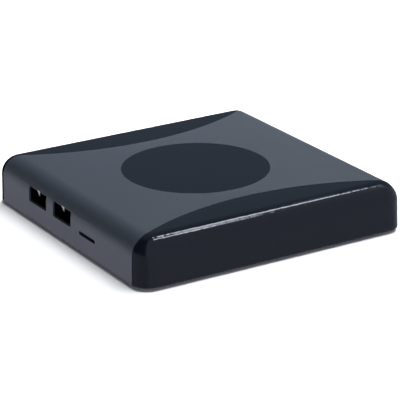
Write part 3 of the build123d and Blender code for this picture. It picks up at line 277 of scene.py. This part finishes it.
def finishes():
    """Each finish with the nodes that have it."""
    serial = ("side_socket_rear", "side_socket_front")
    serial_shells = [f"{name}_shell" for name in serial]
    feet = [f"foot_{end}_{side}" for end in ("front", "rear") for side in ("left", "right")]
    lengthwise = (1, 0.08, 1)
    # Spark-eroded black ABS, coarser than the top: dull, with a faint sparkle
    cover = moulded("spark_eroded_black_abs", "#17181A", "#222326", (0.5, 0.66), 0.6 * MM, 0.03 * MM)
    # Moulded rubber: the dullest black on the part, with a faint bloom
    rubber = moulded("moulded_rubber", "#101011", "#1B1B1C", (0.8, 0.95), 0.8 * MM, 0.02 * MM)
    # Heat resistant socket plastic: dense black, slightly satin from the glass in it
    socket = moulded("glass_filled_socket_plastic", "#0B0B0C", "#141416", (0.4, 0.55), 0.5 * MM, 0.006 * MM)
    # Moulded epoxy: soft charcoal, even and dull
    epoxy = moulded("moulded_epoxy", "#161617", "#212123", (0.55, 0.7), 0.3 * MM, 0.006 * MM)
    # Pressed ferrite: dark grey with a coarse stony grain
    ferrite = moulded("pressed_ferrite", "#232324", "#353536", (0.6, 0.8), 0.5 * MM, 0.02 * MM)
    # Filled silicone: pale blue grey and dull
    silicone = moulded("filled_silicone", "#8C97A3", "#9AA4AE", (0.7, 0.85), 1.0 * MM, 0.02 * MM)
    # Cast resin that lets only infrared through: looks like polished black glass
    dark_resin = moulded("cast_dark_resin", "#120E12", "#161216", (0.05, 0.1), 4.0 * MM, 0.004 * MM)
    # Cast clear resin over a pale base: milky with a wet gloss
    pale_resin = moulded("cast_pale_resin", "#C9CCD0", "#DADCDF", (0.08, 0.14), 2.0 * MM, 0.004 * MM)
    # Zinc plated steel, turned: pale blue grey with fine marks
    zinc = metal("zinc_plated_steel", "#8F9296", "#B4B6B9", (0.3, 0.45), 0.4 * MM, (1, 1, 0.2))
    # Stamped, tin plated steel: grey, with a soft rolled direction
    tin = metal("tin_plated_steel", "#77777A", "#9B9B9C", (0.28, 0.4), 0.5 * MM, lengthwise)
    # Drawn aluminium can: bright, with fine rings
    drawn = metal("drawn_aluminium", "#C9CACC", "#DEDFE1", (0.22, 0.34), 0.4 * MM, (0.1, 0.1, 1))
    # Extruded aluminium, black anodised: dark, with lines along the fins
    anodised = metal("black_anodised_aluminium", "#1C1D1F", "#2B2C2F", (0.35, 0.5), 0.4 * MM, lengthwise)
    # Gold plating on bronze: warm yellow, bright
    gold = metal("gold_plated_bronze", "#C69A44", "#E0B866", (0.18, 0.3), 0.5 * MM, lengthwise)
    # Drawn spring wire: grey, lightly oiled
    wire = metal("drawn_spring_wire", "#6C6C70", "#88888B", (0.25, 0.35), 0.3 * MM, (1, 1, 1))
    return [
        (shell_finish(), ["upper_shell"]),
        (cover, ["bottom_cover"]),
        (rubber, feet),
        (board_finish(), ["main_board", "radio_board"]),
        (socket_shell_finish(serial_shells), serial_shells),
        (socket, [f"{name}_tongue" for name in (*serial, "video")]),
        (socket, ["network_housing", "power_jack_body", "audio_jack_body", "card_frame", "card_slider"]),
        (socket, ["switch_base", "switch_plunger"]),
        (epoxy, ["processor", "memory_chip_1", "memory_chip_2", "flash_chip", "power_chip"]),
        (epoxy, ["network_transformer"]),
        (ferrite, ["coil_1", "coil_2"]),
        (silicone, ["thermal_pad"]),
        (dark_resin, ["ir_receiver"]),
        (pale_resin, ["status_lamp"]),
        (zinc, ["case_screws", "board_screws"]),
        (tin, ["video_shell", "card_cover", "radio_shield", "crystal", "antenna"]),
        (drawn, ["capacitor_1", "capacitor_2"]),
        (anodised, ["heat_sink"]),
        (gold, [f"{name}_contacts" for name in (*serial, "card", "video", "network", "audio_jack")]),
        (gold, ["power_jack_pin", "power_jack_contact"]),
        (wire, ["card_spring"]),
    ]


def dress_nodes():
    for finish, names in finishes():
        for name in names:
            NODES[name].data.materials.clear()
            NODES[name].data.materials.append(finish)


def sprung_coil():
    """The card slider's spring: open turns between two closed ones, as long as the box of the spring node it
    stands in for."""
    low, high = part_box("card_spring")
    middle = (low + high) / 2
    length = high.x - low.x
    first = Vector((low.x + SPRING_WIRE / 2, middle.y, middle.z + SPRING_RADIUS))
    upright = Matrix.Translation(first) @ Matrix.Rotation(radians(90), 4, "X")
    open_rise = (length - SPRING_WIRE - 2 * SPRING_CLOSED_RISE) / SPRING_OPEN_TURNS
    shape = bmesh.new()
    bmesh.ops.create_circle(shape, segments=SPRING_WIRE_SIDES, radius=SPRING_WIRE / 2, matrix=upright)
    ring = shape.verts[:] + shape.edges[:]
    for turns, rise in ((1, SPRING_CLOSED_RISE), (SPRING_OPEN_TURNS, open_rise), (1, SPRING_CLOSED_RISE)):
        ring = bmesh.ops.spin(
            shape,
            geom=ring,
            cent=middle,
            axis=(1, 0, 0),
            dvec=(rise / SPRING_TURN_STEPS, 0, 0),
            angle=turns * tau,
            steps=turns * SPRING_TURN_STEPS,
        )["geom_last"]
    bmesh.ops.holes_fill(shape, edges=shape.edges[:])
    bmesh.ops.recalc_face_normals(shape, faces=shape.faces[:])
    for face in shape.faces:
        face.smooth = True
    mesh = bpy.data.meshes.new("sprung_coil")
    shape.to_mesh(mesh)
    shape.free()
    mesh.materials.append(NODES["card_spring"].data.materials[0])
    coil = bpy.data.objects.new("sprung_coil", mesh)
    bpy.context.collection.objects.link(coil)
    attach(coil, "case")
    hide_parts("card_spring")
    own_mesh(coil)


def studio_table():
    """Wide white table top: matte laminate, even and very pale. Glossy faces mirror the room, not the table."""
    mesh = bpy.data.meshes.new("studio_table")
    shape = bmesh.new()
    bmesh.ops.create_grid(shape, x_segments=1, y_segments=1, size=TABLE_HALF)
    shape.to_mesh(mesh)
    shape.free()
    table = bpy.data.objects.new("studio_table", mesh)
    table.visible_glossy = False
    bpy.context.collection.objects.link(table)
    finish, tree, place = new_finish("white_table_laminate")
    noise = add(tree, "ShaderNodeTexNoise", {"Vector": place, "Scale": 1 / TABLE_CLOUD})
    inputs = {"Factor": noise, "A": linear("#F8F8F8"), "B": linear("#FBFBFB")}
    tone = add(tree, "ShaderNodeMix", inputs, data_type="RGBA")
    inputs = {"Base Color": tone, "Roughness": 0.9, "IOR": 1.2}
    add(tree, "ShaderNodeOutputMaterial", {"Surface": add(tree, "ShaderNodeBsdfPrincipled", inputs)})
    mesh.materials.append(finish)


def softbox(name, place, aim, size, power, mirrored):
    """Rectangular lamp at place, facing aim; mirrored says whether glossy faces show it."""
    lamp = bpy.data.lights.new(name, "AREA")
    lamp.shape = "RECTANGLE"
    lamp.size, lamp.size_y = size
    lamp.energy = power
    lamp.color = linear("#ECF0FF")[:3] if mirrored else (1, 1, 1)
    holder = bpy.data.objects.new(name, lamp)
    holder.location = place
    holder.rotation_euler = (Vector(aim) - Vector(place)).to_track_quat("-Z", "Y").to_euler()
    holder.visible_glossy = mirrored
    bpy.context.collection.objects.link(holder)


def studio_lamps():
    """Soft light from above and from three sides, and four small lamps that the front's upper edge mirrors as
    one long streak."""
    softbox("overhead", (0.68, -0.75, 2.5), (0, 0, 0), (1.3, 1.2), 48, False)
    softbox("above", (-0.1, -0.1, 2.5), (0, 0, 0), (0.5, 0.5), 20, False)
    softbox("front", (-0.1, -2.2, 0.5), (0, 0, 0), (2.5, 0.4), 5, False)
    softbox("right", (0.25, 0.25, 0.3), (0, 0, 0), (0.25, 0.15), 3.7, False)
    softbox("left", (-2.2, 0.0, 0.5), (0, 0, 0), (2.5, 0.4), 5, False)
    softbox("streak", (1.205, 0.5, 2.0), (1.205, 0.5, 0), (0.35, 0.28), 3.1, True)
    softbox("tail", (1.41, 0.45, 2.0), (1.41, 0.45, 0), (0.06, 1.4), 0.26, True)
    softbox("patch", (1.09, 0.14, 2.0), (1.09, 0.14, 0), (0.13, 0.56), 1.2, True)
    softbox("tube", (0.96, -0.02, 1.95), (0.96, -0.02, 0), (0.18, 0.14), 1.0, True)


def studio_room():
    """Dim room of soft tones by direction, which the glossy faces mirror."""
    world = bpy.data.worlds.new("studio_room")
    bpy.context.scene.world = world
    world.use_nodes = True
    tree = world.node_tree
    tree.nodes.clear()
    toward = add(tree, "ShaderNodeTexCoord", {}).outputs["Generated"]
    height = add(tree, "ShaderNodeSeparateXYZ", {0: toward}).outputs["Z"]
    level = add(tree, "ShaderNodeVectorMath", {0: toward, 1: (1, 1, 0)}, operation="MULTIPLY")
    bearing = add(tree, "ShaderNodeVectorMath", {0: level}, operation="NORMALIZE")
    share = {}
    # By height, in degrees over the table top: where the part begins, and where it is full
    for part, begins, full in (("wall", 2, 9), ("strip", 9, -14), ("low", 12, 1), ("floor", -34, -54)):
        inputs = {"Value": height, "From Min": sin(radians(begins)), "From Max": sin(radians(full))}
        share[part] = add(tree, "ShaderNodeMapRange", inputs, interpolation_type="SMOOTHSTEP")
    # By bearing: the way to the part's middle, and in degrees from there where it begins and where it is full
    for part, way, begins, full in (
        ("around", (0.7, -0.7, 0), 100, 75),
        ("ahead", (0.5, -0.86, 0), 75, 30),
        ("behind", (0.52, 0.85, 0), 65, 25),
        ("behind left", (-0.53, 0.85, 0), 7, 3),
        ("left", (-0.985, -0.174, 0), 62, 45),
    ):
        turn = add(tree, "ShaderNodeVectorMath", {0: bearing, 1: way}, operation="DOT_PRODUCT")
        inputs = {"Value": turn, "From Min": cos(radians(begins)), "From Max": cos(radians(full))}
        share[part] = add(tree, "ShaderNodeMapRange", inputs, interpolation_type="SMOOTHSTEP")
    for part, where, zone in (
        ("back", "behind", "wall"),
        ("side", "left", "low"),
        ("glow", "behind left", "strip"),
    ):
        share[part] = add(tree, "ShaderNodeMath", {0: share[where], 1: share[zone]}, operation="MULTIPLY")
    # The dark room, and the tones of what lies over it in turn
    tone = linear("#0B0B0D")
    for part, colour in (
        ("around", "#50545C"),
        ("back", "#262C32"),
        ("side", "#3E4148"),
        ("ahead", "#484B53"),
        ("glow", "#D6D8EE"),
        ("floor", "#A4A4A8"),
    ):
        inputs = {"Factor": share[part], "A": tone, "B": linear(colour)}
        tone = add(tree, "ShaderNodeMix", inputs, data_type="RGBA")
    background = add(tree, "ShaderNodeBackground", {"Color": tone, "Strength": ROOM_STRENGTH})
    add(tree, "ShaderNodeOutputWorld", {"Surface": background})


def photograph_camera():
    """Camera that stands where the photograph was taken from."""
    flat = cos(CAMERA_ELEVATION)
    back = Vector((sin(CAMERA_AZIMUTH) * flat, -cos(CAMERA_AZIMUTH) * flat, sin(CAMERA_ELEVATION)))
    right = Vector((0, 0, 1)).cross(back).normalized()
    axes = Matrix((right, back.cross(right), back)).transposed() @ Matrix.Rotation(CAMERA_ROLL, 3, "Z")
    lens = bpy.data.cameras.new("camera")
    lens.sensor_width = SENSOR
    lens.lens = FOCAL_LENGTH
    lens.clip_start = CAMERA_NEAR_LIMIT
    camera = bpy.data.objects.new("camera", lens)
    camera.matrix_world = Matrix.Translation(CAMERA_TARGET + back * CAMERA_DISTANCE) @ axes.to_4x4()
    bpy.context.collection.objects.link(camera)
    bpy.context.scene.camera = camera


dress_nodes()
sprung_coil()
studio_table()
studio_lamps()
studio_room()
photograph_camera()
bpy.context.scene.view_settings.view_transform = "Standard"
